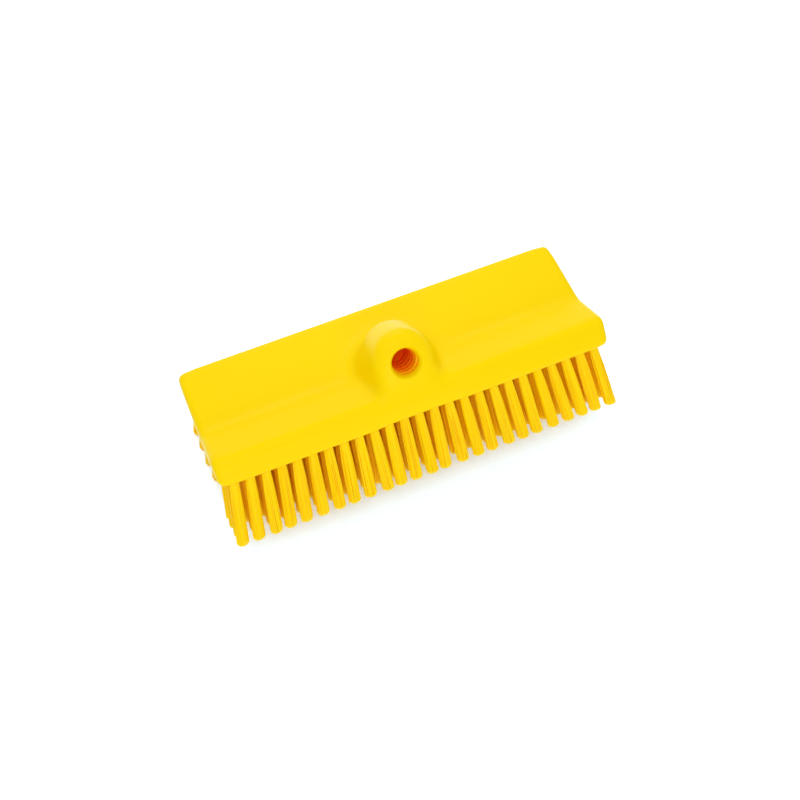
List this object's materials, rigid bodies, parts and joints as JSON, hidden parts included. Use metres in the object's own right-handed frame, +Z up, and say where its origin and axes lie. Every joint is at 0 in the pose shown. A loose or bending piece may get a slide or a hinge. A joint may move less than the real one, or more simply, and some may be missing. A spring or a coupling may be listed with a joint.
{
  "type": "deck brush",
  "caption": "Deck scrub brush head: moulded block with a flat plate and a raised, angled front lip, rows of stiff folded tufts, and a slanted threaded handle socket in a central boss.",
  "frame": {"origin": "on the floor under the bristle tips, below the middle of the whole part's box", "axes": "+X along the block, -Y towards the raised front lip and the handle, +Z up from the bristle tips to the block"},
  "size_m": [0.258, 0.1096, 0.1045],
  "materials": {
    "moulded_polypropylene": "satin moulded polypropylene, bright yellow",
    "bristle_filament": "satin extruded filament, the block's yellow",
    "staple_wire": "bright flat wire"
  },
  "bodies": {
    "root": {"brush_block": "moulded_polypropylene", "front_tuft_01": "bristle_filament", "front_tuft_02": "bristle_filament", "front_tuft_03": "bristle_filament", "front_tuft_04": "bristle_filament", "front_tuft_05": "bristle_filament", "front_tuft_06": "bristle_filament", "front_tuft_07": "bristle_filament", "front_tuft_08": "bristle_filament", "front_tuft_09": "bristle_filament", "front_tuft_10": "bristle_filament", "front_tuft_11": "bristle_filament", "front_tuft_12": "bristle_filament", "front_tuft_13": "bristle_filament", "front_tuft_14": "bristle_filament", "front_tuft_15": "bristle_filament", "front_tuft_16": "bristle_filament", "front_tuft_17": "bristle_filament", "front_tuft_18": "bristle_filament", "front_tuft_19": "bristle_filament", "front_tuft_20": "bristle_filament", "front_tuft_21": "bristle_filament", "front_tuft_22": "bristle_filament", "front_tuft_23": "bristle_filament", "front_tuft_24": "bristle_filament", "front_tuft_25": "bristle_filament", "bristle_row_2": "bristle_filament", "bristle_row_3": "bristle_filament", "bristle_row_4": "bristle_filament", "bristle_row_5": "bristle_filament", "bristle_row_6": "bristle_filament", "bristle_row_7": "bristle_filament", "bristle_row_8": "bristle_filament", "front_staple_01": "staple_wire", "front_staple_02": "staple_wire", "front_staple_03": "staple_wire", "front_staple_04": "staple_wire", "front_staple_05": "staple_wire", "front_staple_06": "staple_wire", "front_staple_07": "staple_wire", "front_staple_08": "staple_wire", "front_staple_09": "staple_wire", "front_staple_10": "staple_wire", "front_staple_11": "staple_wire", "front_staple_12": "staple_wire", "front_staple_13": "staple_wire", "front_staple_14": "staple_wire", "front_staple_15": "staple_wire", "front_staple_16": "staple_wire", "front_staple_17": "staple_wire", "front_staple_18": "staple_wire", "front_staple_19": "staple_wire", "front_staple_20": "staple_wire", "front_staple_21": "staple_wire", "front_staple_22": "staple_wire", "front_staple_23": "staple_wire", "front_staple_24": "staple_wire", "front_staple_25": "staple_wire"}
  },
  "joints": []
}
